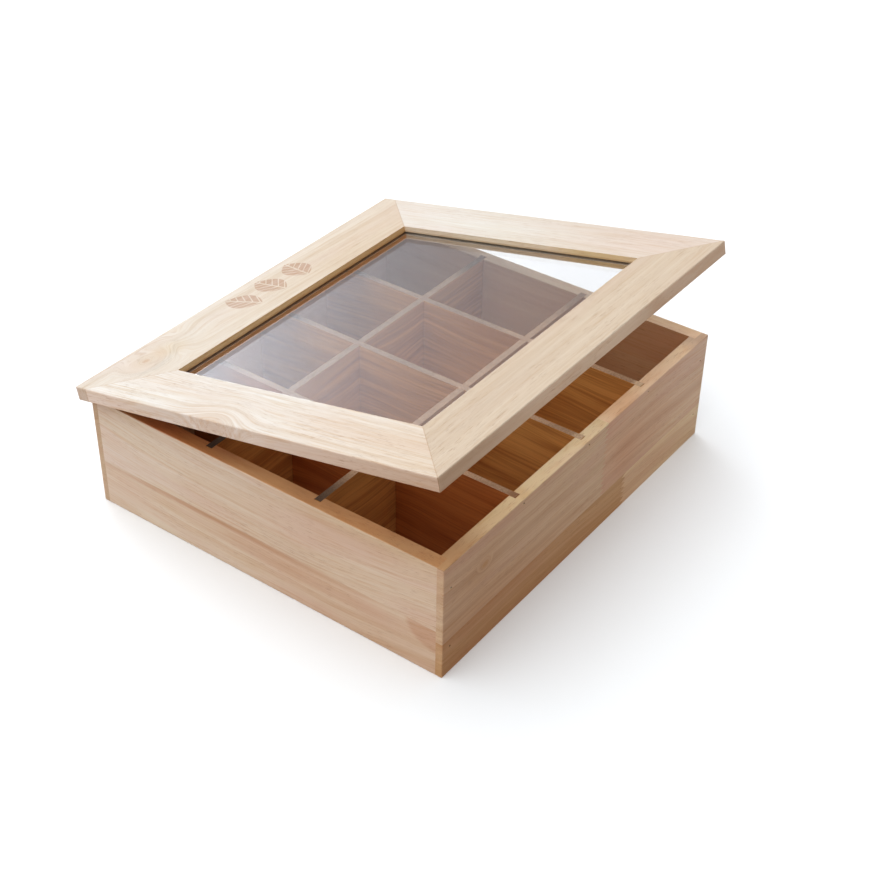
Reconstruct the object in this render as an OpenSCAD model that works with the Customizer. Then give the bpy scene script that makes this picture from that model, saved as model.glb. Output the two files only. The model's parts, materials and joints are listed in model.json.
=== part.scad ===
// Wooden box with a grid of compartments, and a hinged lid made of a mitred frame
// round a clear pane. Millimetres, +Z up, front towards -Y, hinges at the back.
// The origin is the centre of the underside.

/* [Box] */
// Width of the box, side to side
box_w = 332; // [316:1:352]
// Depth of the box, front to back
box_d = 302; // [290:1:322]
// Height of the box walls
box_h = 90; // [80:1:110]
// Thickness of the front and back panels
front_t = 10; // [10:0.5:12]
// Thickness of the side panels
side_t = 11; // [10:0.5:13]
// Wood of the front and back panels that covers the ends of the side panels
lip_t = 5.2; // [4.6:0.1:6]
// Thickness of the bottom panel
bottom_t = 4; // [3:0.5:6]

/* [Dividers] */
// Thickness of a divider
divider_t = 5; // [4:0.2:6]
// Number of compartments from left to right
columns = 4; // [4:1:5]
// Distance between the middles of the two long dividers
long_pitch = 93.5; // [84:0.5:98]

/* [Lid] */
// Thickness of the lid's frame
lid_t = 10.5; // [10.5:0.5:14]
// Width of the front and side rails
rail_w = 45.5; // [40:0.5:50]
// Width of the rear rail
rear_rail_w = 55.5; // [52:0.5:60]
// How far the lid overhangs each side
over_side = 7.5; // [4:0.5:12]
// How far the lid overhangs the front
over_front = 8.5; // [4:0.5:14]
// How far the lid overhangs the back, where its edge stops the opened lid
over_rear = 3.5; // [3.2:0.1:4.2]
// Gap between the closed lid and the top of the box
lid_gap = 0.8; // [0.6:0.1:1.2]
// Angle at which the lid stands open
open_angle = 12; // [0:1:96]
// Thickness of the clear pane
pane_t = 2; // [1.5:0.1:2.4]
// Depth of the pane's upper face below the top of the lid
pane_drop = 4.9; // [4:0.1:5.4]

/* [Hinges] */
// Length of a hinge
hinge_l = 40; // [32:1:50]
// Distance from the middle of the box to the middle of a hinge
hinge_x = 105; // [80:1:112]
// Outside radius of the hinge barrel
barrel_r = 2.2; // [2:0.1:2.4]
// Thickness of a hinge leaf
leaf_t = 1.2; // [1.1:0.1:1.3]
// Radius of the hinge pin
pin_r = 1; // [0.8:0.1:1.1]

/* [Hidden] */

$fn = 48;
cut = 1;                     // how far a cutter passes a face
play = 0.03;                 // radial room round a nail, screw or dowel in its hole
ease = 0.8;                  // radius of the sanded outer edges
ease_steps = 3;              // flats on a sanded edge

// Box
inner_w = box_w - 2 * side_t;
inner_d = box_d - 2 * front_t;
seat = front_t - lip_t;      // depth of the rebates and slots cut into the inner faces
end_play = 0.5;              // gap between a divider's end and its slot's floor
slot_play = 0.15;            // gap on each side of a divider in a slot or halving
column_pitch = (inner_w + divider_t) / columns;
cross_x = [for (i = [1:columns - 1]) (i - columns / 2) * column_pitch];
cell_x = [for (i = [0:columns - 1]) (i - (columns - 1) / 2) * column_pitch];
long_y = [-long_pitch / 2, long_pitch / 2];
row_y = (inner_d / 2 + long_pitch / 2 + divider_t / 2) / 2;
cell_y = [-row_y, 0, row_y];
halving_z = (bottom_t + box_h) / 2;

// Nails
nail_r = 0.6;
nail_head_r = 0.9;
nail_head_t = 0.6;
nail_set = 0.5;              // how far the head is driven below the face
nail_l = 20;
nail_tip = 1.5;
corner_nail_in = 8.2;        // from the side face to the middle of a corner nail
corner_nail_z = [22, 71];
divider_nail_z = box_h - 3.5;

// Lid
lid_w = box_w + 2 * over_side;
lid_front = -box_d / 2 - over_front;
lid_rear = box_d / 2 + over_rear;
lid_z = box_h + lid_gap;
step = rear_rail_w - rail_w; // extra width of the rear rail, square at its ends
window_front = lid_front + rail_w;
window_rear = lid_rear - rear_rail_w;
groove_depth = 4;
groove_room = 0.4;           // gap above the pane in its groove
pane_play = 0.5;             // gap round the pane's edge in its groove
pane_z = lid_t - pane_drop - pane_t;
reach = 3;                   // how far a mitre cutter passes the frame
dowel_r = 2.5;
dowel_l = 24;
dowel_at = [0.32, 0.6];      // places along a mitre, from its outer end

// Hinges
axis_y = box_d / 2;
axis_z = box_h + lid_gap / 2;
leaf_reach = 8.8;            // from the pin's axis to the leaf's far edge
knuckles = 5;
knuckle_pitch = hinge_l / knuckles;
knuckle_gap = 0.3;
knuckle_end = (hinge_l - knuckle_gap) / 2;
lid_knuckles = [1, 3];
box_knuckles = [0, 2, 4];
pin_play = 0.05;
pin_head_r = 1.6;
pin_head_t = 0.7;
barrel_room = 0.35;          // space left in the wood round a barrel
mortise_play = 0.15;
leaf_round = 1.5;
screw_x = [-hinge_l / 3, hinge_l / 3];
screw_y = -5;
screw_r = 1;
screw_head_r = 2;
screw_head_t = 1;
screw_l = 8;
screw_tip = 2;
recess_w = 0.5;
recess_l = 2.2;
recess_depth = 0.7;

// Colours
pale_wood = [0.85, 0.74, 0.6];
tan_wood = [0.74, 0.58, 0.43];
divider_wood = [0.6, 0.38, 0.22];
plywood = [0.78, 0.64, 0.47];
clear = [0.75, 0.78, 0.82, 0.4];
brass = [0.79, 0.65, 0.35];
steel = [0.5, 0.48, 0.45];

// ---- Shapes used by several pieces

function quarter_arc(x, y, r, from) = [
    for (i = [0:ease_steps])
        let (a = from + 90 * i / ease_steps) [x + r * cos(a), y + r * sin(a)]
];

// Rectangle from the origin to [w, h] with rounded corners
module eased_rect(w, h, r = ease)
    polygon(concat(
        quarter_arc(r, r, r, 180), quarter_arc(w - r, r, r, 270),
        quarter_arc(w - r, h - r, r, 0), quarter_arc(r, h - r, r, 90)));

// Block on the XY plane, centred in X, whose twelve edges are sanded round
module sanded_block(w, d, h)
    translate([-w / 2, 0, 0]) intersection() {
        linear_extrude(h) eased_rect(w, d);
        translate([0, d, 0]) rotate([90, 0, 0]) linear_extrude(d) eased_rect(w, h);
        rotate([90, 0, 90]) linear_extrude(w) eased_rect(d, h);
    }

module in_pairs() for (side = [0, 1]) mirror([side, 0, 0]) children();

// ---- Nails, each pointing along +Z from the face of the wood at z = 0

module nail() {
    translate([0, 0, nail_set]) cylinder(r = nail_head_r, h = nail_head_t);
    translate([0, 0, nail_set]) cylinder(r = nail_r, h = nail_l - nail_set - nail_tip);
    translate([0, 0, nail_l - nail_tip]) cylinder(r1 = nail_r, r2 = nail_r / 4, h = nail_tip);
}

module nail_hole() {
    translate([0, 0, -cut]) cylinder(r = nail_head_r + play, h = cut + nail_set + nail_head_t);
    cylinder(r = nail_r + play, h = nail_l + play);
}

module at_corner_nails()
    for (x = [-1, 1], y = [-1, 1], z = corner_nail_z)
        translate([x * (box_w / 2 - corner_nail_in), y * box_d / 2, z])
            rotate([90 * y, 0, 0]) children();

module at_divider_nails()
    for (x = cross_x, y = [-1, 1])
        translate([x, y * box_d / 2, divider_nail_z]) rotate([90 * y, 0, 0]) children();

module at_bottom_nails() {
    for (x = cell_x, y = [-1, 1]) translate([x, y * (inner_d + seat) / 2, 0]) children();
    for (x = [-1, 1], y = cell_y) translate([x * (inner_w + seat) / 2, y, 0]) children();
}

module all_nail_holes() {
    at_corner_nails() nail_hole();
    at_divider_nails() nail_hole();
    at_bottom_nails() nail_hole();
}

// ---- Walls and bottom of the box

module bottom_blank(below = 0)
    translate([-inner_w / 2 - seat, -inner_d / 2 - seat, -below])
        cube([inner_w + 2 * seat, inner_d + 2 * seat, bottom_t + below]);

// Slots of every divider, cut from top to bottom into the walls
module divider_slots() {
    slot = divider_t + 2 * slot_play;
    for (x = cross_x)
        translate([x - slot / 2, -inner_d / 2 - seat, -cut])
            cube([slot, inner_d + 2 * seat, box_h + 2 * cut]);
    for (y = long_y)
        translate([-inner_w / 2 - seat, y - slot / 2, -cut])
            cube([inner_w + 2 * seat, slot, box_h + 2 * cut]);
}

module sanded_box() translate([0, -box_d / 2, 0]) sanded_block(box_w, box_d, box_h);

// Front panel: it runs the full width, and is rebated at its ends for the side panels
module long_wall()
    difference() {
        intersection() {
            sanded_box();
            translate([-box_w, -box_d / 2 - cut, -cut])
                cube([2 * box_w, front_t + cut, box_h + 2 * cut]);
        }
        in_pairs()
            translate([inner_w / 2, -box_d / 2 + lip_t, -cut])
                cube([side_t + cut, front_t, box_h + 2 * cut]);
        bottom_blank(below = cut);
        divider_slots();
        all_nail_holes();
    }

// Right-hand side panel: its ends stand in the rebates of the front and back panels
module side_wall()
    difference() {
        intersection() {
            sanded_box();
            translate([inner_w / 2, -inner_d / 2 - seat, -cut])
                cube([side_t + cut, inner_d + 2 * seat, box_h + 2 * cut]);
        }
        bottom_blank(below = cut);
        divider_slots();
        all_nail_holes();
    }

module front_panel() color(tan_wood) long_wall();

module back_panel()
    color(tan_wood) difference() {
        mirror([0, 1, 0]) long_wall();
        at_hinges() {
            box_mortise();
            at_leaf_screws(-1) screw_hole();
        }
    }

module left_side_panel() color(pale_wood) mirror([1, 0, 0]) side_wall();
module right_side_panel() color(pale_wood) side_wall();

module bottom_panel()
    color(plywood) difference() {
        bottom_blank();
        at_bottom_nails() nail_hole();
    }

// ---- Dividers, halved together: the long ones from the top, the cross ones from below

module long_divider(y)
    color(divider_wood) difference() {
        translate([-inner_w / 2 - seat + end_play, y - divider_t / 2, bottom_t])
            cube([inner_w + 2 * (seat - end_play), divider_t, box_h - bottom_t]);
        for (x = cross_x)
            translate([x - divider_t / 2 - slot_play, y - divider_t, halving_z])
                cube([divider_t + 2 * slot_play, 2 * divider_t, box_h]);
    }

module cross_divider(x)
    color(divider_wood) difference() {
        translate([x - divider_t / 2, -inner_d / 2 - seat + end_play, bottom_t])
            cube([divider_t, inner_d + 2 * (seat - end_play), box_h - bottom_t]);
        for (y = long_y)
            translate([x - divider_t, y - divider_t / 2 - slot_play, halving_z - box_h])
                cube([2 * divider_t, divider_t + 2 * slot_play, box_h]);
        at_divider_nails() nail_hole();
    }

module front_long_divider() long_divider(long_y[0]);
module rear_long_divider() long_divider(long_y[1]);
module left_cross_divider() cross_divider(cross_x[0]);
module right_cross_divider() cross_divider(cross_x[len(cross_x) - 1]);

// The cross dividers between the outer two: one, where there are four columns
module middle_cross_divider() for (i = [1:len(cross_x) - 2]) cross_divider(cross_x[i]);

module corner_nails() color(steel) at_corner_nails() nail();
module divider_nails() color(steel) at_divider_nails() nail();
module bottom_nails() color(steel) at_bottom_nails() nail();

// ---- Hinges. Their own frame has the pin along X at the origin and the leaves towards -Y;
// side is 1 for the lid's leaf, above the pin, and -1 for the box's leaf, below it.

module at_hinge(x) translate([x, axis_y, axis_z]) children();

module at_hinges() for (x = [-hinge_x, hinge_x]) at_hinge(x) children();

// Hole places on a leaf: +Z points from the leaf's open face into the wood
module at_leaf_screws(side)
    for (x = screw_x)
        translate([x, screw_y, side * lid_gap / 2]) mirror([0, 0, side < 0 ? 1 : 0]) children();

module screw()
    difference() {
        union() {
            cylinder(r1 = screw_head_r, r2 = screw_r, h = screw_head_t);
            cylinder(r = screw_r, h = screw_l - screw_tip);
            translate([0, 0, screw_l - screw_tip])
                cylinder(r1 = screw_r, r2 = screw_r / 5, h = screw_tip);
        }
        for (turn = [0, 90])
            rotate(turn) translate([-recess_l / 2, -recess_w / 2, -cut])
                cube([recess_l, recess_w, cut + recess_depth]);
    }

module screw_hole() {
    translate([0, 0, -cut]) cylinder(r = screw_head_r + play, h = cut);
    cylinder(r1 = screw_head_r + play, r2 = screw_r + play, h = screw_head_t);
    cylinder(r = screw_r + play, h = screw_l + play);
}

// Length of the barrel from knuckle k's start to its end, made longer by grow at each end
module barrel_length(k, r, grow = 0)
    translate([-hinge_l / 2 + k * knuckle_pitch + knuckle_gap / 2 - grow, 0, 0])
        rotate([0, 90, 0]) cylinder(r = r, h = knuckle_pitch - knuckle_gap + 2 * grow);

module hinge_leaf(side) {
    own = side > 0 ? lid_knuckles : box_knuckles;
    other = side > 0 ? box_knuckles : lid_knuckles;
    color(brass) difference() {
        union() {
            difference() {
                translate([-knuckle_end, -leaf_reach, side > 0 ? lid_gap / 2 : -lid_gap / 2 - leaf_t])
                    linear_extrude(leaf_t) leaf_outline();
                for (k = other) barrel_length(k, barrel_r + knuckle_gap, knuckle_gap);
            }
            for (k = own) barrel_length(k, barrel_r);
        }
        rotate([0, 90, 0])
            cylinder(r = pin_r + pin_play, h = hinge_l + 2 * cut, center = true);
        at_leaf_screws(side) screw_hole();
    }
}

// Plan of a leaf: two round corners on its far edge
module leaf_outline()
    polygon(concat(
        quarter_arc(leaf_round, leaf_round, leaf_round, 180),
        quarter_arc(2 * knuckle_end - leaf_round, leaf_round, leaf_round, 270),
        [[2 * knuckle_end, leaf_reach], [0, leaf_reach]]));

module hinge_pin()
    color(brass) {
        rotate([0, 90, 0]) cylinder(r = pin_r, h = 2 * knuckle_end, center = true);
        in_pairs() translate([knuckle_end, 0, 0]) rotate([0, 90, 0]) {
            cylinder(r = pin_head_r, h = pin_head_t / 2);
            translate([0, 0, pin_head_t / 2])
                cylinder(r1 = pin_head_r, r2 = pin_r, h = pin_head_t / 2);
        }
    }

// Pocket in the top of the back panel for a leaf, and a channel for the barrel
module box_mortise() {
    translate([-hinge_l / 2 - mortise_play, -leaf_reach - mortise_play, -lid_gap / 2 - leaf_t])
        cube([hinge_l + 2 * mortise_play, 2 * leaf_reach, leaf_t + lid_gap]);
    rotate([0, 90, 0])
        cylinder(r = barrel_r + barrel_room, h = hinge_l + 4 * pin_head_t, center = true);
}

// The same in the underside of the lid, where the barrel's room is open to the rear
module lid_mortise() {
    translate([-hinge_l / 2 - mortise_play, -leaf_reach - mortise_play, 0])
        cube([hinge_l + 2 * mortise_play, 2 * leaf_reach, lid_gap / 2 + leaf_t]);
    translate([-hinge_l / 2 - 2 * pin_head_t, -barrel_r - barrel_room, 0])
        cube([hinge_l + 4 * pin_head_t, 2 * leaf_reach, barrel_r + barrel_room]);
}

module left_hinge_box_leaf() at_hinge(-hinge_x) hinge_leaf(-1);
module right_hinge_box_leaf() at_hinge(hinge_x) hinge_leaf(-1);
module left_hinge_pin() at_hinge(-hinge_x) hinge_pin();
module right_hinge_pin() at_hinge(hinge_x) hinge_pin();
module box_leaf_screws() color(brass) at_hinges() at_leaf_screws(-1) screw();

// ---- Lid, drawn closed and then turned open about the hinge pins

module opened()
    translate([0, axis_y, axis_z]) rotate([-open_angle, 0, 0])
        translate([0, -axis_y, -axis_z]) children();

// Places of the dowels: +X crosses the mitre squarely, half way up the frame
module at_dowels()
    in_pairs() for (t = dowel_at) {
        translate([-lid_w / 2 + t * rail_w, lid_front + t * rail_w, lid_z + lid_t / 2])
            rotate(-45) children();
        translate([-lid_w / 2 + t * rail_w, lid_rear - step - t * rail_w, lid_z + lid_t / 2])
            rotate(45) children();
    }

module dowel(grow = 0)
    rotate([0, 90, 0]) cylinder(r = dowel_r + grow, h = dowel_l + 2 * grow, center = true);

module window(z, depth, h)
    translate([-lid_w / 2 + rail_w - depth, window_front - depth, lid_z + z])
        cube([lid_w - 2 * rail_w + 2 * depth, window_rear - window_front + 2 * depth, h]);

// The whole frame in one piece, with the window, the pane's groove and every bore
module lid_frame()
    difference() {
        translate([0, lid_front, lid_z]) sanded_block(lid_w, lid_rear - lid_front, lid_t);
        window(-cut, 0, lid_t + 2 * cut);
        window(pane_z, groove_depth, pane_t + groove_room);
        at_dowels() dowel(play);
        at_hinges() {
            lid_mortise();
            at_leaf_screws(1) screw_hole();
        }
    }

// One rail: the part of the frame that lies over a plan outline
module rail(outline)
    color(pale_wood) opened() intersection() {
        lid_frame();
        translate([0, 0, lid_z - cut]) linear_extrude(lid_t + 2 * cut) polygon(outline);
    }

// Ends of the left-hand mitres, each passed by reach; the right-hand ones mirror them
front_outer = [-lid_w / 2 - reach, lid_front - reach];
front_inner = [-lid_w / 2 + rail_w + reach, window_front + reach];
rear_outer = [-lid_w / 2 - reach, lid_rear - step + reach];
rear_inner = [-lid_w / 2 + rail_w + reach, window_rear - reach];
rear_corner = [-lid_w / 2 - reach, lid_rear + reach];

function mirrored(p) = [-p[0], p[1]];
function with_mirror(points) =
    concat(points, [for (i = [len(points) - 1:-1:0]) mirrored(points[i])]);

module lid_front_rail() rail(with_mirror([front_inner, front_outer]));
module lid_rear_rail() rail(with_mirror([rear_inner, rear_outer, rear_corner]));
module lid_left_rail() rail([front_inner, rear_inner, rear_outer, front_outer]);
module lid_right_rail() mirror([1, 0, 0]) lid_left_rail();

module mitre_dowels() color(tan_wood) opened() at_dowels() dowel();

module window_pane() color(clear) opened() window(pane_z, groove_depth - pane_play, pane_t);

module left_hinge_lid_leaf() opened() at_hinge(-hinge_x) hinge_leaf(1);
module right_hinge_lid_leaf() opened() at_hinge(hinge_x) hinge_leaf(1);
module lid_leaf_screws() color(brass) opened() at_hinges() at_leaf_screws(1) screw();

front_panel();
back_panel();
left_side_panel();
right_side_panel();
bottom_panel();
front_long_divider();
rear_long_divider();
left_cross_divider();
middle_cross_divider();
right_cross_divider();
corner_nails();
divider_nails();
bottom_nails();
left_hinge_box_leaf();
right_hinge_box_leaf();
left_hinge_pin();
right_hinge_pin();
box_leaf_screws();
lid_front_rail();
lid_rear_rail();
lid_left_rail();
lid_right_rail();
mitre_dowels();
window_pane();
left_hinge_lid_leaf();
right_hinge_lid_leaf();
lid_leaf_screws();
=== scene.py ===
"""Finish, light and view of a wooden box with twelve compartments and a windowed lid.

Everything is in metres and radians. The box stands on z = 0 with its front towards -Y, and
each board's grain is worked out in the board's own place, with the lid's boards laid flat.
A named pair of numbers is where a smooth step begins and where it ends.
"""

import json
from dataclasses import dataclass
from math import cos, radians, sin

import bpy
from mathutils import Matrix, Vector

PRINT_GAMMA = 0.85

# The part of a face's normal along an axis, from not looking that way to looking that way
FACING = (0.6, 0.8)


# ---------------------------------------------------------------- shader graphs

class Wire:
    """A node's output that takes part in Python arithmetic, which adds Math nodes."""

    def __init__(self, graph, socket):
        self.graph = graph
        self.socket = socket

    def __add__(self, other):
        return self.graph.maths("ADD", self, other)

    def __radd__(self, other):
        return self.graph.maths("ADD", other, self)

    def __sub__(self, other):
        return self.graph.maths("SUBTRACT", self, other)

    def __rsub__(self, other):
        return self.graph.maths("SUBTRACT", other, self)

    def __mul__(self, other):
        return self.graph.maths("MULTIPLY", self, other)

    def __rmul__(self, other):
        return self.graph.maths("MULTIPLY", other, self)

    def __truediv__(self, other):
        return self.graph.maths("DIVIDE", self, other)

    def __pow__(self, other):
        return self.graph.maths("POWER", self, other)

    def __abs__(self):
        return self.graph.maths("ABSOLUTE", self)

    def out(self, name):
        """Another output of the same node."""
        return Wire(self.graph, self.socket.node.outputs[name])


class Graph:
    """The nodes of one material or of the world."""

    def __init__(self, owner):
        owner.use_nodes = True
        self.tree = owner.node_tree
        self.tree.nodes.clear()

    def add(self, kind, settings, sockets, output=0):
        """A node: its settings are set first, then its sockets' values or links."""
        node = self.tree.nodes.new("ShaderNode" + kind)
        for name, value in settings.items():
            setattr(node, name, value)
        for name, value in sockets.items():
            self.feed(node.inputs[name], value)
        return Wire(self, node.outputs[output]) if node.outputs else None

    def feed(self, socket, value):
        """Links a wire to a socket, or sets the socket's value."""
        if isinstance(value, Wire):
            self.tree.links.new(value.socket, socket)
        elif socket.type == "RGBA":
            socket.default_value = (*value[:3], 1)
        else:
            socket.default_value = value

    def coordinate(self, kind):
        """Where a point lies (Object), how its face looks (Normal), or the sky's direction
        (Generated)."""
        return self.add("TexCoord", {}, {}).out(kind)

    def maths(self, operation, *values):
        return self.add("Math", {"operation": operation}, dict(enumerate(values)))

    def vector(self, x, y, z):
        return self.add("CombineXYZ", {}, {0: x, 1: y, 2: z})

    def parts(self, vector, letters="XYZ"):
        """A vector's numbers, in the order of the letters."""
        split = self.add("SeparateXYZ", {}, {0: vector})
        return [split.out(letter) for letter in letters]

    def moved(self, vector, by):
        return self.add("VectorMath", {"operation": "ADD"}, {0: vector, 1: by})

    def shade(self, colour, amount):
        """A colour made darker or lighter by a number."""
        return self.add("VectorMath", {"operation": "SCALE"}, {0: colour, "Scale": amount})

    def mix(self, amount, first, second, blend="MIX"):
        settings = {"data_type": "RGBA", "blend_type": blend}
        return self.add("Mix", settings, {0: amount, 6: first, 7: second}, output=2)

    def tint(self, amount, colour, tone):
        """A colour times a tone, to the given amount."""
        return self.mix(amount, colour, tone, "MULTIPLY")

    def between(self, value, low, high):
        """0 below low, 1 above high, and a smooth step in between."""
        settings = {"interpolation_type": "SMOOTHSTEP"}
        sockets = {"Value": value, "From Min": low, "From Max": high}
        return self.add("MapRange", settings, sockets)

    def facing(self, part):
        """1 where a part of the normal says that the face looks that way, else 0."""
        return self.between(part, *FACING)

    def noise(self, vector, scale, detail=2, roughness=0.5):
        """Noise from 0 to 1, with so many large lumps to a metre along X, Y and Z."""
        fine = self.add("VectorMath", {"operation": "MULTIPLY"}, {0: vector, 1: scale})
        sockets = {"Vector": fine, "Scale": 1, "Detail": detail, "Roughness": roughness}
        return self.add("TexNoise", {}, sockets)

    def noise_line(self, value, detail, roughness):
        """Noise along a line, whose largest lumps are about one unit wide."""
        sockets = {"W": value, "Scale": 1, "Detail": detail, "Roughness": roughness}
        return self.add("TexNoise", {"noise_dimensions": "1D"}, sockets)

    def marks(self, vector, figure):
        """Where the marks of a figure show: from 0 to 1."""
        noise = self.noise(vector, figure.scale, figure.detail, figure.roughness)
        return self.between(noise, *figure.limits)

    def bump(self, height, depth):
        return self.add("Bump", {}, {"Strength": 1, "Distance": depth, "Height": height})

    def surface(self, shader):
        self.add("OutputMaterial", {}, {"Surface": shader})

    def principled(self, **sockets):
        named = {name.replace("_", " "): value for name, value in sockets.items()}
        return self.add("BsdfPrincipled", {}, named)


@dataclass
class Figure:
    """Marks that set in between two limits of a noise with so many lumps to a metre."""
    scale: tuple
    limits: tuple
    detail: float = 1
    roughness: float = 0.5


def spread(amount, ends):
    """Turns 0 to 1 into the range between two ends."""
    low, high = ends
    return low + (high - low) * amount


def new_material(name):
    material = bpy.data.materials.new(name)
    return material, Graph(material)


# ---------------------------------------------------------------- places

# The window in the lid, laid flat
WINDOW_SIDE = 0.128
WINDOW_FRONT = -0.114
WINDOW_REAR = 0.099


def lid_folding(joint):
    """Turns the lid from where it stands open to lying closed."""
    hinge = Vector(joint["pos_m"])
    turn = Matrix.Rotation(radians(joint["range_deg"][0]), 4, Vector(joint["axis"]))
    return Matrix.Translation(hinge) @ turn @ Matrix.Translation(-hinge)


def board_place(g, fold):
    """Coordinates fixed to the board, with a board of the lid laid flat."""
    place = g.coordinate("Object")
    if fold is None:
        return place
    sockets = {"Vector": place, "Location": fold.to_translation(), "Rotation": fold.to_euler()}
    return g.add("Mapping", {"vector_type": "POINT"}, sockets)


# ---------------------------------------------------------------- rubberwood

# Along and across are measured on the board's face, in the box's own coordinates, with the
# lid's boards laid flat.

@dataclass
class Stave:
    """A strip glued into a panel, between two heights and past a finger joint.

    Its grain is moved along by shift, so that it doesn't run on from its neighbour's.
    """
    low: float = -1
    high: float = 1
    start: float = -1
    tone: tuple = (1, 1, 1)
    shift: float = 0.4


@dataclass
class Patch:
    """An oval of another tone, which may stop at a glue seam. Some are the wood's own tone;
    many are painted light or painted shade.
    """
    along: float
    across: float
    reach_along: float
    reach_across: float
    tone: tuple
    softness: float = 0.5
    ceiling: float = 1


@dataclass
class Swirl:
    """A place where the grain bulges sideways."""
    along: float
    across: float
    reach_along: float
    reach_across: float
    lift: float


@dataclass
class Knot:
    """A place where the grain runs in rings round the stump of a branch."""
    along: float
    across: float
    reach_along: float
    reach_across: float
    depth: float


@dataclass
class Board:
    """How one board was cut from its tree, and what shows on its faces."""
    # Which of X, Y and Z are along, across and through the board
    axes: str
    # The seed picks the piece of grain; the colours are of its rings and of clouds in it
    seed: float
    pale: tuple
    dark: tuple
    blush: tuple
    # Painted light and shade: tones of both narrow faces and of the one towards +across if it
    # differs; and the tone of end grain
    edge: tuple = (1, 1, 1)
    far_edge_light: tuple = ()
    end: tuple = (0.96, 0.91, 0.85)
    # 1 or -1 where the face that looks that way through the board is inside the box
    inside: int = 0
    # Where the window begins, as across, and the tone of painted light in the pane's groove
    # and below it
    window: float = 0
    groove: tuple = (1, 1, 1)
    # Whether the row of leaves is burned into it
    leaves: bool = False
    # The tree's middle, as across and through, and how many rings there are to a metre
    pith: tuple = (0.30, -0.1)
    rings: float = 120
    # The grain keeps to across = climb * along + bow * (along - level) ** 2 + a constant,
    # and strays from it by up to wander
    climb: float = 0
    bow: float = 0
    level: float = 0
    wander: float = 0.004
    # How strongly dark streaks and pores show
    streaks: float = 0.7
    flecks: float = 0.6
    swirls: tuple = ()
    knots: tuple = ()
    patches: tuple = ()
    staves: tuple = ()


# For a patch on one narrow face: its middle, as across, just outside that face, and its reach
RIM = (0.0905, 0.001)
LID_FRONT = (-0.1600, 0.0008)
LID_LEFT = (-0.1740, 0.0008)
WINDOW_RIGHT = (0.1270, 0.0012)

# Heights of the glue seams, and the ceiling that keeps a patch off the rim
FRONT_SEAM = 0.0286
BACK_SEAM = 0.048
LEFT_SEAM = 0.0375
BELOW_RIM = 0.0896


def edge_patch(edge, along, reach, tone, softness):
    """A patch on one narrow face of a board: mostly painted light and shade on the rims and
    the lid's edges.
    """
    across, thin = edge
    return Patch(along, across, reach, thin, tone, softness)


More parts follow.
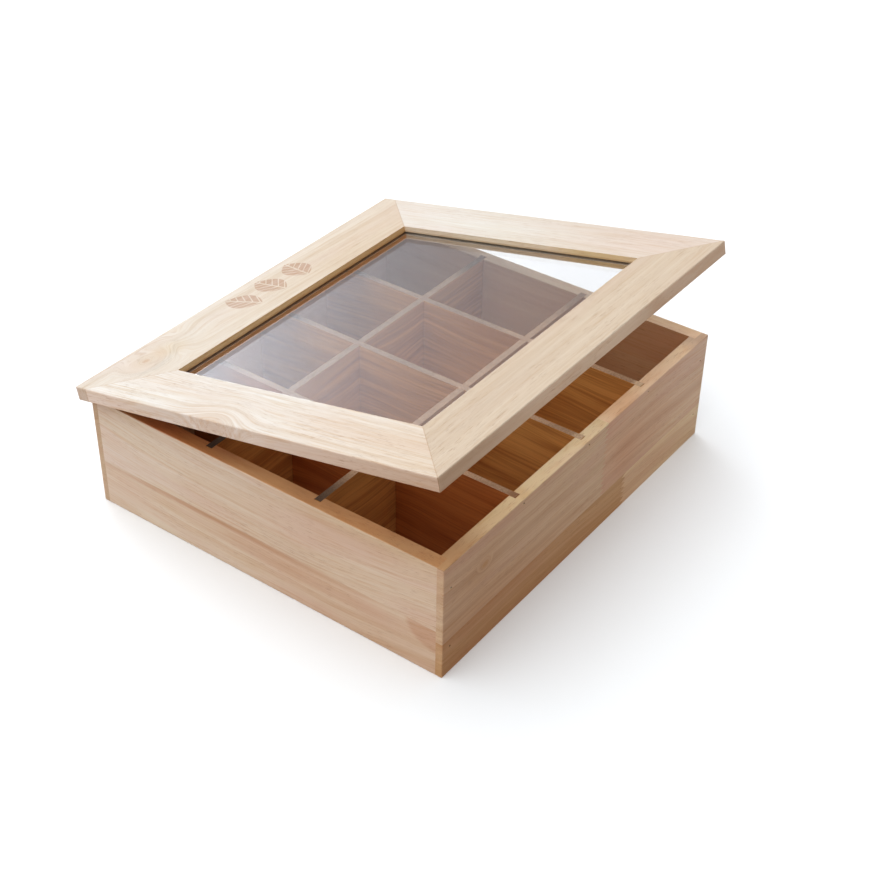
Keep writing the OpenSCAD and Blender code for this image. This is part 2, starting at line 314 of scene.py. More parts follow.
BOARDS = {
    "front_panel": Board(
        "XZY", 3, (0.81, 0.69, 0.53), (0.71, 0.57, 0.415), (0.735, 0.565, 0.445),
        # Painted light on the rim, which lies in the lid's shade
        edge=(1.24, 1.25, 1.03), inside=1, climb=-0.05, wander=0.006,
        knots=(Knot(-0.1214, 0.0650, 0.007, 0.0045, 0.005),),
        # Besides the knot, the broad ovals at both ends, high in the middle and along the
        # bottom are painted light and shade; the rim patches are painted light and shade under
        # the lid, the darkest being the painted shadow of the lid's corner
        patches=(Patch(-0.1214, 0.0650, 0.0034, 0.0022, (0.90, 0.80, 0.66), 0.6),
                 Patch(-0.128, 0.062, 0.020, 0.010, (0.95, 0.90, 0.84), 0.8),
                 Patch(-0.19, 0.04, 0.16, 0.14, (0.90, 0.87, 0.86), 0.9),
                 Patch(0.02, 0.070, 0.09, 0.035, (1.05, 1.10, 1.12), 0.9),
                 Patch(0.052, 0.052, 0.018, 0.016, (0.97, 0.91, 0.88), 0.8),
                 Patch(0.080, 0.053, 0.040, 0.020, (0.95, 0.90, 0.87), 0.8),
                 Patch(0.19, 0.06, 0.12, 0.08, (1.14, 1.28, 1.36), 0.9),
                 Patch(0.155, 0.080, 0.045, 0.028, (1.05, 1.09, 1.15), 0.8, BELOW_RIM),
                 Patch(0.145, 0.034, 0.050, 0.007, (1.09, 1.16, 1.16), 0.8),
                 Patch(0.12, 0.016, 0.060, 0.012, (0.98, 0.94, 0.91), 0.9),
                 Patch(-0.14, 0.034, 0.10, 0.010, (0.96, 0.90, 0.83), 0.8),
                 Patch(-0.08, 0.000, 0.17, 0.013, (0.91, 0.84, 0.74), 0.7),
                 Patch(-0.1665, 0.022, 0.0010, 0.034, (1.10, 1.20, 1.32), 0.5),
                 edge_patch(RIM, -0.166, 0.045, (0.60, 0.47, 0.38), 0.4),
                 edge_patch(RIM, -0.112, 0.022, (0.92, 0.89, 0.86), 0.6),
                 edge_patch(RIM, -0.075, 0.006, (0.94, 0.88, 0.80), 0.6),
                 edge_patch(RIM, -0.005, 0.038, (0.98, 0.94, 1.00), 0.4),
                 edge_patch(RIM, 0.050, 0.021, (0.93, 0.84, 0.80), 0.3),
                 edge_patch(RIM, 0.12, 0.090, (0.885, 0.81, 0.85), 0.5),
                 edge_patch(RIM, 0.166, 0.024, (0.66, 0.62, 0.66), 0.5)),
        # The lower staves' tones are partly the wood's own and partly painted shade near the
        # floor
        staves=(Stave(high=FRONT_SEAM, tone=(0.865, 0.745, 0.585), shift=0.31),
                Stave(low=FRONT_SEAM, start=0.0205, tone=(0.99, 0.905, 0.90), shift=0.57),
                Stave(high=FRONT_SEAM, start=0.052, tone=(1.07, 1.06, 1.02), shift=0.83))),
    "back_panel": Board(
        "XZY", 11, (0.74, 0.64, 0.51), (0.66, 0.54, 0.41), (0.68, 0.52, 0.41),
        # Painted light on the rim
        edge=(1.25, 1.25, 1.15), inside=-1, climb=0.03, pith=(0.03, 0.12), wander=0.006,
        staves=(Stave(low=BACK_SEAM, tone=(0.97, 0.95, 0.93), shift=0.37),
                Stave(high=BACK_SEAM, start=-0.061, tone=(0.95, 0.90, 0.86), shift=0.71))),
    "left_side_panel": Board(
        "YZX", 5, (0.80, 0.71, 0.60), (0.725, 0.595, 0.455), (0.735, 0.575, 0.475),
        # Painted shade on the rim, darker and warmer where the lid shades it
        edge=(0.79, 0.52, 0.305), inside=1, bow=0.49, level=0.013, wander=0.006,
        patches=(Patch(0.073, 0.0355, 0.085, 0.0024, (0.86, 0.73, 0.66), 0.8, LEFT_SEAM),
                 Patch(-0.030, 0.0320, 0.055, 0.0110, (0.95, 0.88, 0.85), 0.7, LEFT_SEAM),
                 Patch(-0.151, LEFT_SEAM, 0.028, 0.0190, (0.91, 0.80, 0.75), 0.10, LEFT_SEAM),
                 # Painted shade low at the front, near the floor
                 Patch(-0.15, 0.000, 0.10, 0.022, (0.92, 0.86, 0.82), 0.8),
                 Patch(-0.10, 0.086, 0.070, 0.009, (0.95, 0.92, 0.86), 0.8),
                 Patch(0.16, 0.04, 0.09, 0.11, (1.09, 1.16, 1.22), 0.9, BELOW_RIM),
                 Patch(0.035, 0.082, 0.055, 0.007, (1.02, 1.06, 1.12), 0.8, BELOW_RIM),
                 Patch(-0.030, 0.043, 0.022, 0.006, (0.95, 0.93, 0.92), 0.8),
                 Patch(0.13, 0.045, 0.050, 0.012, (1.03, 1.08, 1.12), 0.8),
                 Patch(0.10, 0.010, 0.080, 0.010, (1.02, 1.07, 1.07), 0.8),
                 # The rim patches are painted light and shade along the rim under the lid
                 edge_patch(RIM, -0.135, 0.035, (0.90, 0.94, 1.00), 0.4),
                 edge_patch(RIM, 0.000, 0.026, (1.13, 1.17, 1.16), 0.4),
                 edge_patch(RIM, 0.075, 0.045, (1.00, 0.82, 0.66), 0.5),
                 edge_patch(RIM, 0.090, 0.020, (0.87, 0.68, 0.62), 0.8)),
        staves=(Stave(high=LEFT_SEAM, tone=(0.97, 0.94, 0.91), shift=0.43),)),
    "right_side_panel": Board(
        "YZX", 7, (0.74, 0.65, 0.53), (0.66, 0.54, 0.42), (0.68, 0.53, 0.43),
        # Its rim tone and rim patch are painted light on the rim, which lies in the shade of
        # the lid's right rail
        edge=(1.23, 1.18, 1.06), inside=-1, pith=(0.02, 0.10), climb=0.02, wander=0.006,
        patches=(edge_patch(RIM, 0.060, 0.080, (1.08, 1.12, 1.16), 0.4),),
        staves=(Stave(low=0.055, tone=(0.96, 0.93, 0.90), shift=0.29),)),
    "lid_front_rail": Board(
        "XYZ", 13, (0.55, 0.469, 0.374), (0.512, 0.420, 0.321), (0.525, 0.43, 0.34),
        # Painted light and shade: the tone of its narrow faces, apart from its top, and the
        # patches along its front edge
        edge=(1.47, 1.50, 1.53), climb=0.01, rings=150, wander=0.003, streaks=0.5,
        patches=(Patch(-0.085, -0.133, 0.070, 0.010, (0.96, 0.95, 0.95), 0.8),
                 edge_patch(LID_FRONT, -0.175, 0.085, (0.74, 0.69, 0.64), 0.6),
                 edge_patch(LID_FRONT, 0.015, 0.035, (1.07, 1.10, 1.12), 0.5),
                 edge_patch(LID_FRONT, 0.075, 0.012, (0.94, 0.89, 0.85), 0.6))),
    "lid_rear_rail": Board(
        "XYZ", 17, (0.61, 0.555, 0.485), (0.555, 0.475, 0.385), (0.575, 0.49, 0.425),
        # Painted light on its window wall, its rear edge and in the pane's groove
        edge=(1.27, 1.01, 0.65), far_edge_light=(1.25, 1.20, 1.12), end=(1.20, 1.15, 1.12),
        window=WINDOW_REAR, groove=(1.22, 1.02, 0.96), leaves=True, climb=-0.04, rings=170,
        flecks=0.4,
        swirls=(Swirl(-0.104, 0.124, 0.012, 0.012, -0.016),
                Swirl(-0.084, 0.141, 0.016, 0.009, 0.010),
                Swirl(-0.060, 0.132, 0.020, 0.010, -0.005)),
        knots=(Knot(-0.126, 0.133, 0.019, 0.0130, 0.017),),
        patches=(Patch(-0.126, 0.133, 0.0034, 0.0024, (0.88, 0.76, 0.66), 0.6),
                 Patch(-0.126, 0.133, 0.018, 0.012, (0.985, 0.96, 0.92), 0.5),
                 Patch(-0.104, 0.130, 0.012, 0.009, (0.98, 0.94, 0.87), 0.7),
                 Patch(-0.15, 0.130, 0.12, 0.060, (1.01, 1.04, 1.07), 0.9),
                 Patch(0.12, 0.110, 0.13, 0.028, (0.96, 0.92, 0.86), 0.8))),
    "lid_left_rail": Board(
        "YXZ", 19, (0.655, 0.615, 0.570), (0.575, 0.50, 0.42), (0.60, 0.515, 0.445),
        # Painted light and shade: the tone of its narrow faces and the patches on its outer
        # edge
        edge=(1.28, 1.22, 1.19), climb=0.015, rings=210, wander=0.004, streaks=0.9,
        swirls=(Swirl(0.022, -0.170, 0.020, 0.022, -0.015),),
        patches=(Patch(-0.17, -0.15, 0.09, 0.08, (0.95, 0.90, 0.83), 0.9),
                 Patch(0.10, -0.15, 0.06, 0.06, (1.02, 1.07, 1.11), 0.9),
                 Patch(-0.005, -0.148, 0.03, 0.03, (1.02, 1.06, 1.09), 0.9),
                 Patch(0.03, -0.165, 0.03, 0.012, (0.97, 0.93, 0.90), 0.8),
                 Patch(0.02, -0.1705, 0.08, 0.005, (0.97, 0.96, 0.95), 0.6),
                 edge_patch(LID_LEFT, -0.16, 0.13, (0.84, 0.80, 0.78), 0.6),
                 edge_patch(LID_LEFT, 0.03, 0.04, (1.03, 1.09, 1.14), 0.5),
                 edge_patch(LID_LEFT, 0.14, 0.05, (1.06, 1.06, 1.06), 0.6))),
    "lid_right_rail": Board(
        "YXZ", 23, (0.625, 0.575, 0.52), (0.575, 0.505, 0.435), (0.60, 0.52, 0.465),
        # Painted light on its narrow faces and in the pane's groove; the yellowish patch on
        # the window wall is a stain
        edge=(1.34, 1.24, 1.06), window=WINDOW_SIDE, groove=(1.18, 1.22, 1.26), climb=0.02,
        wander=0.004, flecks=0.4,
        patches=(edge_patch(WINDOW_RIGHT, -0.082, 0.055, (0.96, 0.92, 0.72), 0.2),
                 Patch(0.07, 0.15, 0.11, 0.06, (1.02, 1.08, 1.11), 0.9),
                 Patch(-0.10, 0.137, 0.06, 0.03, (0.98, 0.95, 0.93), 0.9),
                 Patch(-0.03, 0.132, 0.07, 0.006, (0.96, 0.94, 0.91), 0.8),
                 Patch(-0.05, 0.170, 0.09, 0.006, (0.96, 0.93, 0.91), 0.8),
                 Patch(0.06, 0.157, 0.07, 0.006, (1.03, 1.04, 1.06), 0.8))),
}


# The finger joints between staves, and the blur of every joint and seam
FINGER_PITCH = 0.0022
FINGER_SLOPE = 2.4
JOINT_BLUR = 0.0003

# How far a board's seed moves its grain, and how far that moves its rings
SEED_SHIFT = 1.7
RING_SHIFT = 40

# The grain's slow straying, and where a knot's rings give way to it, in the knot's own size
STRAY_SCALE = (6, 12, 12)
KNOT_RIM = (0.6, 1.5)

# The wood's marks, drawn out along the grain, and pores seen end on
RING_LIMITS = (0.3, 0.7)
BLUSH = Figure((7, 36, 36), (0.42, 0.68), detail=2)
STREAKS = Figure((26, 760, 200), (0.46, 0.70), detail=3, roughness=0.65)
PORES = Figure((120, 2000, 2000), (0.60, 0.72))
PORE_CLUSTERS = Figure((16, 60, 60), (0.3, 0.65))
END_PORES = Figure((1300, 1300, 1300), (0.55, 0.75))
FIBRE_SCALE = (60, 1600, 1600)

# How strongly they show, the tones that they have, the painted shade on the panels' inner
# faces, and the surface
BLUSH_SHARE = 0.75
END_PORE_SHARE = 0.25
PORE_SHARE = 0.6
STREAK_TONE = (0.91, 0.82, 0.71)
PORE_TONE = (0.66, 0.52, 0.42)
INSIDE_SHADE = (1.00, 0.80, 0.62)
FIBRE_SHADES = (0.95, 1.05)
WOOD_ROUGHNESS = (0.50, 0.66)
WOOD_SHEEN = 0.35
GRAIN_DEPTH = 0.00012


def oval_distance(along, across, spot):
    """1 on the rim of an oval, 0 at its middle."""
    u = (along - spot.along) / spot.reach_along
    v = (across - spot.across) / spot.reach_across
    return (u ** 2 + v ** 2) ** 0.5


def stave_mask(g, along, across, stave):
    fingers = g.maths("PINGPONG", across, FINGER_PITCH) * FINGER_SLOPE
    past = along - fingers - stave.start
    mask = g.between(past, -JOINT_BLUR, JOINT_BLUR)
    above = g.between(across - stave.low, -JOINT_BLUR, JOINT_BLUR)
    below = g.between(stave.high - across, -JOINT_BLUR, JOINT_BLUR)
    return mask * above * below


def patch_mask(g, along, across, patch):
    distance = oval_distance(along, across, patch)
    mask = 1 - g.between(distance, 1 - patch.softness, 1 + patch.softness)
    return mask * g.between(patch.ceiling - across, -JOINT_BLUR, JOINT_BLUR)


def board_tone(g, board, along, across):
    """The tone of a board's staves and patches, and how far its grain is moved along."""
    tone, shift = (1, 1, 1), board.seed * SEED_SHIFT
    for stave in board.staves:
        mask = stave_mask(g, along, across, stave)
        tone = g.mix(mask, tone, stave.tone)
        shift = shift + mask * stave.shift
    for patch in board.patches:
        tone = g.tint(patch_mask(g, along, across, patch), tone, patch.tone)
    return tone, shift


def grain_lane(g, board, along, across, stray):
    """A number that stays the same along each line of the grain."""
    lane = across - along * board.climb - (along - board.level) ** 2 * board.bow
    lane = lane + stray * (2 * board.wander)
    for swirl in board.swirls:
        bulge = g.maths("EXPONENT", oval_distance(along, across, swirl) ** 2 * -1)
        lane = lane + bulge * swirl.lift
    for knot in board.knots:
        distance = oval_distance(along, across, knot)
        ringed = 1 - g.between(distance, *KNOT_RIM)
        lane = lane + ringed * (distance * knot.depth + knot.across - lane)
    return lane


def rubberwood(g, board, place):
    """Colour and surface height of one board."""
    along, across, through = g.parts(place, board.axes)
    tone, shift = board_tone(g, board, along, across)
    cut = along + shift
    stray = g.noise(g.vector(cut, across, through), STRAY_SCALE, 1) - 0.5
    lane = grain_lane(g, board, along, across, stray)
    flow = g.vector(cut, lane, through)

    radius = ((lane - board.pith[0]) ** 2 + (through - board.pith[1]) ** 2) ** 0.5
    growth = g.noise_line(radius * board.rings + shift * RING_SHIFT, detail=4, roughness=0.7)
    pores = g.marks(flow, PORES)
    fibres = g.noise(flow, FIBRE_SCALE, roughness=0.6)

    colour = g.mix(g.between(growth, *RING_LIMITS), board.dark, board.pale)
    colour = g.mix(g.marks(flow, BLUSH) * BLUSH_SHARE, colour, board.blush)
    colour = g.tint(1, colour, tone)
    colour = g.tint(g.marks(flow, STREAKS) * board.streaks, colour, STREAK_TONE)
    colour = g.tint(pores * g.marks(flow, PORE_CLUSTERS) * board.flecks, colour, PORE_TONE)
    colour = g.shade(colour, spread(fibres, FIBRE_SHADES))
    return colour, fibres - pores * PORE_SHARE


def face_tones(g, board, colour, place):
    """Tone of the end grain, painted light and shade on the narrow faces, and painted shade on
    a panel's inner face.
    """
    along, across, through = g.parts(g.coordinate("Normal"), board.axes)
    end = g.mix(g.marks(place, END_PORES) * END_PORE_SHARE, board.end, PORE_TONE)
    # Painted light and shade: each narrow face gets a tone of its own, set to how light falls
    # on it
    tone = g.mix(g.facing(abs(across)), (1, 1, 1), board.edge)
    if board.far_edge_light:
        tone = g.mix(g.facing(across), tone, board.far_edge_light)
    if board.window:
        tone = groove_light_and_shade(g, board, tone, place)
    tone = g.mix(g.facing(abs(along)), tone, end)
    # Painted shade: a panel's inner face is made darker and warmer, as shade falls inside the
    # box
    tone = g.mix(g.facing(through * board.inside), tone, INSIDE_SHADE)
    return g.tint(1, colour, tone)


# ---------------------------------------------------------------- marks on the lid

# How far the pane's groove goes into a rail, and the heights of its upper side and of the
# upper end of the painted shade above it
GROOVE_END = (0.0042, 0.0045)
GROOVE_TOP = (0.0967, 0.0969)
GROOVE_SHADE_TOP = 0.0988
GROOVE_SHADE_TONE = (0.78, 0.72, 0.64)

# Glue in the mitres: how far from the joint it shows and fades, and how strongly
GLUE_WIDTH = (0.0002, 0.0006)
GLUE_BLUR = 0.0002
GLUE_SHARE = 0.45
GLUE_TONE = (0.72, 0.56, 0.42)

# The burned leaves: each one's place along X and its tilt, and then their common form
LEAVES = ((-0.026, radians(104)), (0.004, radians(90)), (0.034, radians(76)))
LEAF_ROW_Y = 0.1315
LEAF_HALF_LENGTH = 0.0165
LEAF_HALF_WIDTH = 0.0115
LEAF_BLUR = 0.0005
RIB_HALF_WIDTH = (0.0004, 0.0009)
VEIN_HALF_WIDTH = (0.0003, 0.0008)
VEIN_PITCH = 0.0032
VEIN_SLANT = 0.9
VEIN_START = 1
UPPER_FACE = (0.100, 0.1008)
HATCH_SCALE = (200, 1600, 400)
HATCH_SHADES = (0.94, 1.06)
BURN = (0.80, 0.67, 0.61)


def groove_light_and_shade(g, board, tone, place):
    """Painted shade just above the pane's groove, and painted light in the groove and below
    it.
    """
    across, height = g.parts(place, board.axes[1:])
    near = 1 - g.between(across - board.window, *GROOVE_END)
    above = g.between(height, *GROOVE_TOP)
    shade_band = above * (1 - g.between(height, GROOVE_TOP[1], GROOVE_SHADE_TOP))
    # Painted shade in a band just above the pane
    tone = g.tint(near * shade_band, tone, GROOVE_SHADE_TONE)
    # Painted light in the groove and below the pane, where the pane shades the rail
    return g.tint(near * (1 - above), tone, board.groove)


def mitre_lines(g, colour, place):
    """Thin glue lines where the lid's rails meet."""
    x, y = g.parts(place, "XY")
    side = abs(x) - WINDOW_SIDE
    front = abs(side + (y - WINDOW_FRONT))
    rear = abs(side - (y - WINDOW_REAR))
    outside = g.between(side, -GLUE_BLUR, GLUE_BLUR)
    line = (1 - g.between(g.maths("MINIMUM", front, rear), *GLUE_WIDTH)) * outside
    return g.tint(line * GLUE_SHARE, colour, GLUE_TONE)


def leaf_mask(g, dx, dy, tilt):
    """A pointed leaf with its middle rib and side veins left bare."""
    u = dx * cos(tilt) + dy * sin(tilt)
    v = abs(dy * cos(tilt) - dx * sin(tilt))
    blade = (1 - (u / LEAF_HALF_LENGTH) ** 2) * LEAF_HALF_WIDTH - v
    vein = g.maths("PINGPONG", u - v * VEIN_SLANT + VEIN_START, VEIN_PITCH)
    burned = g.between(blade, 0, LEAF_BLUR) * g.between(v, *RIB_HALF_WIDTH)
    return burned * g.between(vein, *VEIN_HALF_WIDTH)


def burned_leaves(g, colour, place):
    """A row of three plain leaves burned into the rail's upper face."""
    x, y, z = g.parts(place)
    mask = sum(leaf_mask(g, x - middle, y - LEAF_ROW_Y, tilt) for middle, tilt in LEAVES)
    hatch = g.noise(place, HATCH_SCALE, 1)
    burn = g.shade(g.tint(1, colour, BURN), spread(hatch, HATCH_SHADES))
    return g.mix(mask * g.between(z, *UPPER_FACE), colour, burn)


def wood_material(name, board, fold):
    """One board's finish."""
    material, g = new_material(name + "_wood")
    place = board_place(g, fold)
    colour, height = rubberwood(g, board, place)
    colour = face_tones(g, board, colour, place)
    if fold:
        colour = mitre_lines(g, colour, place)
    if board.leaves:
        colour = burned_leaves(g, colour, place)
    g.surface(g.principled(Base_Color=colour, Roughness=spread(height, WOOD_ROUGHNESS),
                           Normal=g.bump(height, GRAIN_DEPTH), Specular_IOR_Level=WOOD_SHEEN))
    return material


# ---------------------------------------------------------------- other finishes

# Veneer on the dividers' faces
VENEER_SCALE = (5, 5, 70)
VENEER_STREAKS = (12, 12, 620)
VENEER_FIBRES = (50, 50, 2200)
VENEER_LIMITS = (0.36, 0.64)
VENEER_SHADES = (0.88, 1.12)
VENEER_DEPTH = 0.00015
STREAK_SHARE = 0.45
SWAY_SCALE = (9, 9, 20)
SWAY = 0.02

# The raw edges on top of them. Along X, they grow darker towards their left ends. Along Y,
# the ends in the front wall's slots have a tone given for each board, and the rear part, under
# the pane, has painted shade.
CRUMB_SCALE = (700, 700, 700)
CRUMB_LIMITS = (0.3, 0.7)
LUMP_SCALE = (160, 160, 160)
LUMP_SHADES = (0.8, 1.2)
RAW_DARK = (0.38, 0.235, 0.145)
RAW_PALE = (0.50, 0.335, 0.215)
LEFT_END_REACH = (-0.160, -0.118)
LEFT_END_SHADES = (0.3, 1.0)
FRONT_SLOT = (-0.1410, -0.1365)
UNDER_PANE = (-0.045, -0.005)
UNDER_PANE_SHADE = (0.69, 0.72, 0.77)
DIVIDER_ROUGHNESS = (0.5, 0.8)

# Plywood, dowels and metal
PLY_FIGURE = Figure((4, 22, 22), (0.35, 0.65), detail=3, roughness=0.6)
PLY_FIBRES = (40, 700, 700)
PLY_SHADES = (0.88, 1.12)
PLY_DEPTH = 0.0001
DOWEL_FIBRES = (600, 600, 900)
PLAIN_ROUGHNESS = (0.6, 0.7)
TARNISH = Figure((160, 160, 160), (0.35, 0.7), detail=2)
SCRATCH_DEPTH = 0.00002

# The pane: what it mirrors when looked at squarely, and how steeply that rises to the side
PANE_MIRROR = 0.04
MIRROR_RISE = 5
MIRROR_TONE = (0.96, 0.97, 1.0)
MIRROR_ROUGHNESS = 0.03
PANE_TONE = (0.92, 0.92, 0.92)
RIPPLE_SCALE = (6, 6, 6)
RIPPLE_DEPTH = 0.0004


def veneer(g, place, dark, pale):
    """Colour and surface height of warm veneer, whose level grain sways a little."""
    sway = g.noise(place, SWAY_SCALE, 1)
    bent = g.moved(place, g.vector(0, 0, sway * SWAY))
    figure = g.noise(bent, VENEER_SCALE, roughness=0.6)
    streaks = g.noise(bent, VENEER_STREAKS, 3, 0.6)
    fibres = g.noise(bent, VENEER_FIBRES)
    grain = figure * (1 - STREAK_SHARE) + streaks * STREAK_SHARE
    colour = g.mix(g.between(grain, *VENEER_LIMITS), dark, pale)
    return g.shade(colour, spread(fibres, VENEER_SHADES)), fibres


def raw_edge(g, place, front_tone):
    """Colour and surface height of a divider's raw upper edge."""
    x, y = g.parts(place, "XY")
    crumbs = g.noise(place, CRUMB_SCALE, roughness=0.6)
    lumps = g.noise(place, LUMP_SCALE)
    colour = g.mix(g.between(crumbs, *CRUMB_LIMITS), RAW_DARK, RAW_PALE)
    away_from_left_end = g.between(x, *LEFT_END_REACH)
    colour = g.shade(colour, spread(lumps, LUMP_SHADES) * spread(away_from_left_end, LEFT_END_SHADES))
    colour = g.tint(1 - g.between(y, *FRONT_SLOT), colour, front_tone)
    # Painted shade on the rear part, which lies under the pane
    return g.tint(g.between(y, *UNDER_PANE), colour, UNDER_PANE_SHADE), crumbs


def divider_material(name, dark, pale, front_tone):
    """Raw board edges on top, warm veneer on the faces."""
    material, g = new_material(name)
    place = g.coordinate("Object")
    smooth, fibres = veneer(g, place, dark, pale)
    raw, crumbs = raw_edge(g, place, front_tone)
    upward, = g.parts(g.coordinate("Normal"), "Z")
    edge = g.facing(abs(upward))
    height = fibres + (crumbs - fibres) * edge
    g.surface(g.principled(Base_Color=g.mix(edge, smooth, raw),
                           Roughness=spread(edge, DIVIDER_ROUGHNESS),
                           Normal=g.bump(height, VENEER_DEPTH)))
    return material


def plywood_material():
    """Thin plywood: a plain rotary-cut face."""
    material, g = new_material("plywood")
    place = g.coordinate("Object")
    fibres = g.noise(place, PLY_FIBRES)
    dark, pale = (0.48, 0.33, 0.19), (0.62, 0.47, 0.30)
    colour = g.mix(g.marks(place, PLY_FIGURE), dark, pale)
    colour = g.shade(colour, spread(fibres, PLY_SHADES))
    g.surface(g.principled(Base_Color=colour, Roughness=spread(fibres, PLAIN_ROUGHNESS),
                           Normal=g.bump(fibres, PLY_DEPTH)))
    return material


def dowel_material():
    """Turned beech."""
    material, g = new_material("dowel_wood")
    fibres = g.noise(g.coordinate("Object"), DOWEL_FIBRES)
    dark, pale = (0.55, 0.38, 0.24), (0.68, 0.52, 0.37)
    g.surface(g.principled(Base_Color=g.mix(fibres, dark, pale),
                           Roughness=spread(fibres, PLAIN_ROUGHNESS)))
    return material


def metal_material(name, dark, pale, scale, roughness):
    """Metal with fine marks and patches of tarnish."""
    material, g = new_material(name)
    place = g.coordinate("Object")
    scratches = g.noise(place, scale)
    colour = g.mix(g.marks(place, TARNISH), pale, dark)
    g.surface(g.principled(Base_Color=colour, Metallic=1.0,
                           Roughness=spread(scratches, roughness),
                           Normal=g.bump(scratches, SCRATCH_DEPTH)))
    return material


def pane_material():
    """Clear sheet that mirrors more at a low angle."""
    material, g = new_material("clear_acrylic")
    turned = g.add("LayerWeight", {}, {"Blend": 0.5}).out("Facing")
    mirrored = spread(turned ** MIRROR_RISE, (PANE_MIRROR, 1))
    ripple = g.noise(g.coordinate("Object"), RIPPLE_SCALE, 1)
    gloss = g.add("BsdfGlossy", {}, {"Color": MIRROR_TONE, "Roughness": MIRROR_ROUGHNESS,
                                     "Normal": g.bump(ripple, RIPPLE_DEPTH)})
    clear = g.add("BsdfTransparent", {}, {"Color": PANE_TONE})
    g.surface(g.add("MixShader", {}, {0: mirrored, 1: clear, 2: gloss}))
    return material


# ---------------------------------------------------------------- stage

FLOOR_TONE = (0.84, 0.866, 0.886)
FLOOR_REACH = 60.0

# Direction, sharpness and colour of each soft patch of studio light. Those that shine from
# below the floor are what the room throws back on the sides of the box.
SKY = [
    ((-0.15, 0.12, 1.00), 4, (3.20, 3.20, 3.20)),
    ((-1.00, 0.05, 0.12), 4, (0.88, 0.86, 0.84)),
    ((-0.80, 0.00, -0.80), 3, (0.42, 0.25, 0.17)),
    ((0.10, -0.80, -0.80), 3, (0.50, 0.21, 0.07)),
    ((0.35, -0.85, 0.35), 4, (0.16, 0.16, 0.16)),
    ((0.25, 0.90, 0.30), 8, (1.10, 1.10, 1.15)),
    ((0.46, 0.86, 0.24), 60, (4.70, 4.80, 5.00)),
    ((0.75, 0.50, 0.30), 5, (0.60, 0.60, 0.62)),
    ((0.60, 0.60, -0.60), 3, (0.50, 0.42, 0.35)),
]
SKY_GLOW = (0.06, 0.06, 0.06)


def studio_light():
    """Soft light, strongest from above, with a narrow patch low at the rear right."""
    world = bpy.data.worlds.new("studio")
    bpy.context.scene.world = world
    g = Graph(world)
    direction = g.coordinate("Generated")
    light = SKY_GLOW
    for aim, sharpness, colour in SKY:
        aim = Vector(aim).normalized()
        facing = g.add("VectorMath", {"operation": "DOT_PRODUCT"},
                       {0: direction, 1: aim}).out("Value")
        lobe = g.maths("MAXIMUM", facing, 0) ** sharpness
        light = g.mix(1, light, g.shade(colour, lobe), "ADD")
    background = g.add("Background", {}, {"Color": light})
    g.add("OutputWorld", {}, {"Surface": background})


def floor():
    """A plain pale floor under the box, which the light from below passes."""
    mesh = bpy.data.meshes.new("floor")
    corners = [(x * FLOOR_REACH, y * FLOOR_REACH, 0)
               for x, y in ((-1, -1), (1, -1), (1, 1), (-1, 1))]
    mesh.from_pydata(corners, [], [(0, 1, 2, 3)])
    material, g = new_material("floor")
    g.surface(g.principled(Base_Color=FLOOR_TONE, Roughness=0.9, Specular_IOR_Level=0.1))
    mesh.materials.append(material)
    slab = bpy.data.objects.new("floor", mesh)
    bpy.context.scene.collection.objects.link(slab)
    slab.visible_diffuse = False
    slab.visible_shadow = False


# Where the photograph was taken from, fitted to the corners of the box and the lid.
VIEW_AZIMUTH = radians(-54.213)
VIEW_ELEVATION = radians(36.287)
VIEW_ROLL = radians(0.918)
VIEW_DISTANCE = 1.1379
VIEW_TARGET = Vector((-0.00783, -0.02874, 0.045))
SENSOR_WIDTH = 36
LENS = 65.396


def camera():
    data = bpy.data.cameras.new("camera")
    data.sensor_width = SENSOR_WIDTH
    data.lens = LENS
    back = Vector((sin(VIEW_AZIMUTH) * cos(VIEW_ELEVATION),
                   -cos(VIEW_AZIMUTH) * cos(VIEW_ELEVATION), sin(VIEW_ELEVATION)))
    right = Vector((cos(VIEW_AZIMUTH), sin(VIEW_AZIMUTH), 0))
    turned = Matrix((right, back.cross(right), back)).transposed()
    roll = Matrix.Rotation(VIEW_ROLL, 3, "Z")
    viewer = bpy.data.objects.new("camera", data)
    viewer.matrix_world = Matrix.LocRotScale(VIEW_TARGET + back * VIEW_DISTANCE,
                                             (turned @ roll).to_quaternion(), None)
    bpy.context.scene.collection.objects.link(viewer)
    bpy.context.scene.camera = viewer


# ---------------------------------------------------------------- the box

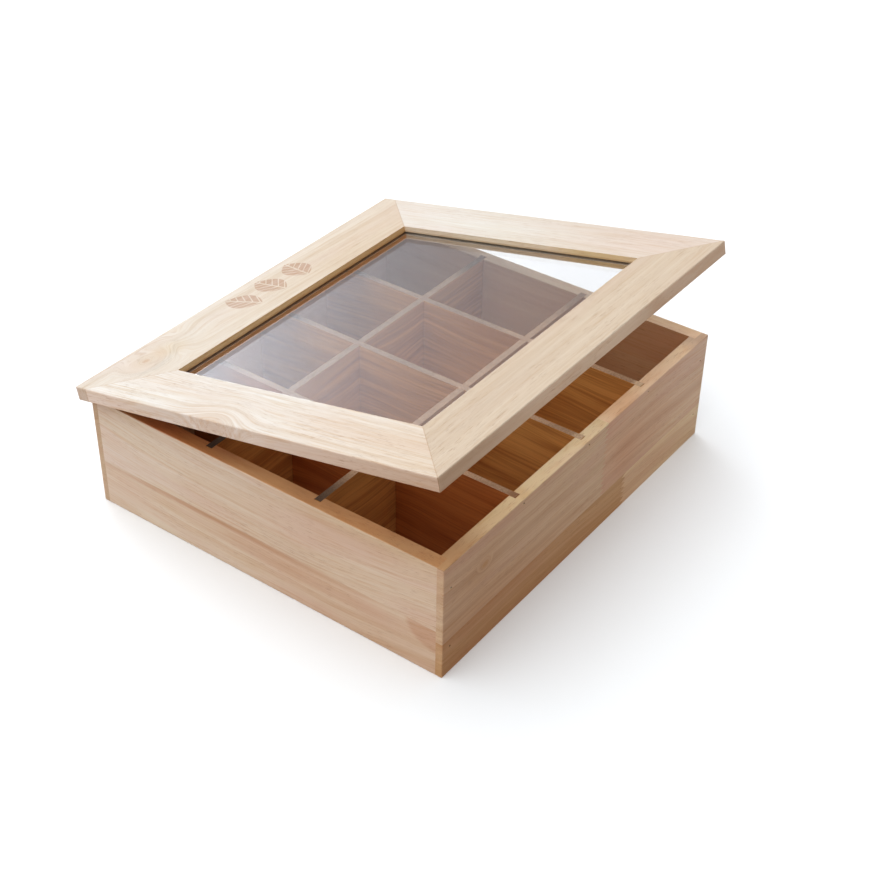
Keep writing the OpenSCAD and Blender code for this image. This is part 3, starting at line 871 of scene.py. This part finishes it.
FINISHES = {
    "divider_board": ["front_long_divider", "rear_long_divider", "middle_cross_divider",
                      "right_cross_divider"],
    "red_divider_board": ["left_cross_divider"],
    "plywood": ["bottom_panel"],
    "dowel_wood": ["mitre_dowels"],
    "nail_steel": ["corner_nails", "divider_nails", "bottom_nails"],
    "hinge_brass": ["left_hinge_box_leaf", "right_hinge_box_leaf", "left_hinge_pin",
                    "right_hinge_pin", "box_leaf_screws", "left_hinge_lid_leaf",
                    "right_hinge_lid_leaf", "lid_leaf_screws"],
    "clear_acrylic": ["window_pane"],
}


def cover(node, material):
    """Gives every face of a node one material."""
    slots = node.data.materials
    for index in range(len(slots)):
        slots[index] = material
    if not slots:
        slots.append(material)


def finish_parts(frame):
    fold = lid_folding(frame["joints"][0])
    for name, board in BOARDS.items():
        material = wood_material(name, board, fold if name.startswith("lid") else None)
        cover(frame["nodes"][name], material)
    plain = {
        "divider_board": divider_material(
            "divider_board", dark=(0.50, 0.225, 0.058), pale=(0.78, 0.44, 0.15),
            front_tone=(1.55, 1.75, 1.85)),
        "red_divider_board": divider_material(
            "red_divider_board", dark=(0.37, 0.10, 0.020), pale=(0.56, 0.21, 0.055),
            front_tone=(0.84, 0.70, 0.60)),
        "plywood": plywood_material(),
        "dowel_wood": dowel_material(),
        "nail_steel": metal_material(
            "nail_steel", dark=(0.10, 0.08, 0.07), pale=(0.22, 0.20, 0.19),
            scale=(900, 900, 900), roughness=(0.45, 0.65)),
        "hinge_brass": metal_material(
            "hinge_brass", dark=(0.50, 0.36, 0.16), pale=(0.72, 0.56, 0.30),
            scale=(60, 1500, 1500), roughness=(0.25, 0.45)),
        "clear_acrylic": pane_material(),
    }
    for finish, names in FINISHES.items():
        for name in names:
            cover(frame["nodes"][name], plain[finish])


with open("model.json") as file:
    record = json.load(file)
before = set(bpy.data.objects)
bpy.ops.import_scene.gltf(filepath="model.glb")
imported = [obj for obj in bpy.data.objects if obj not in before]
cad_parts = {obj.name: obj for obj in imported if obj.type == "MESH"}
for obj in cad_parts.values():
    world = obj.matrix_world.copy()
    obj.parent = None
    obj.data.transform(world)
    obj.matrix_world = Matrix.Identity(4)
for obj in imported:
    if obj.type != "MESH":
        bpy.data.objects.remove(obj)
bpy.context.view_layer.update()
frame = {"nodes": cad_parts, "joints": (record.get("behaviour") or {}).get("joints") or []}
bpy.context.scene.view_settings.view_transform = "Standard"
bpy.context.scene.view_settings.gamma = PRINT_GAMMA
camera()
studio_light()
floor()
finish_parts(frame)
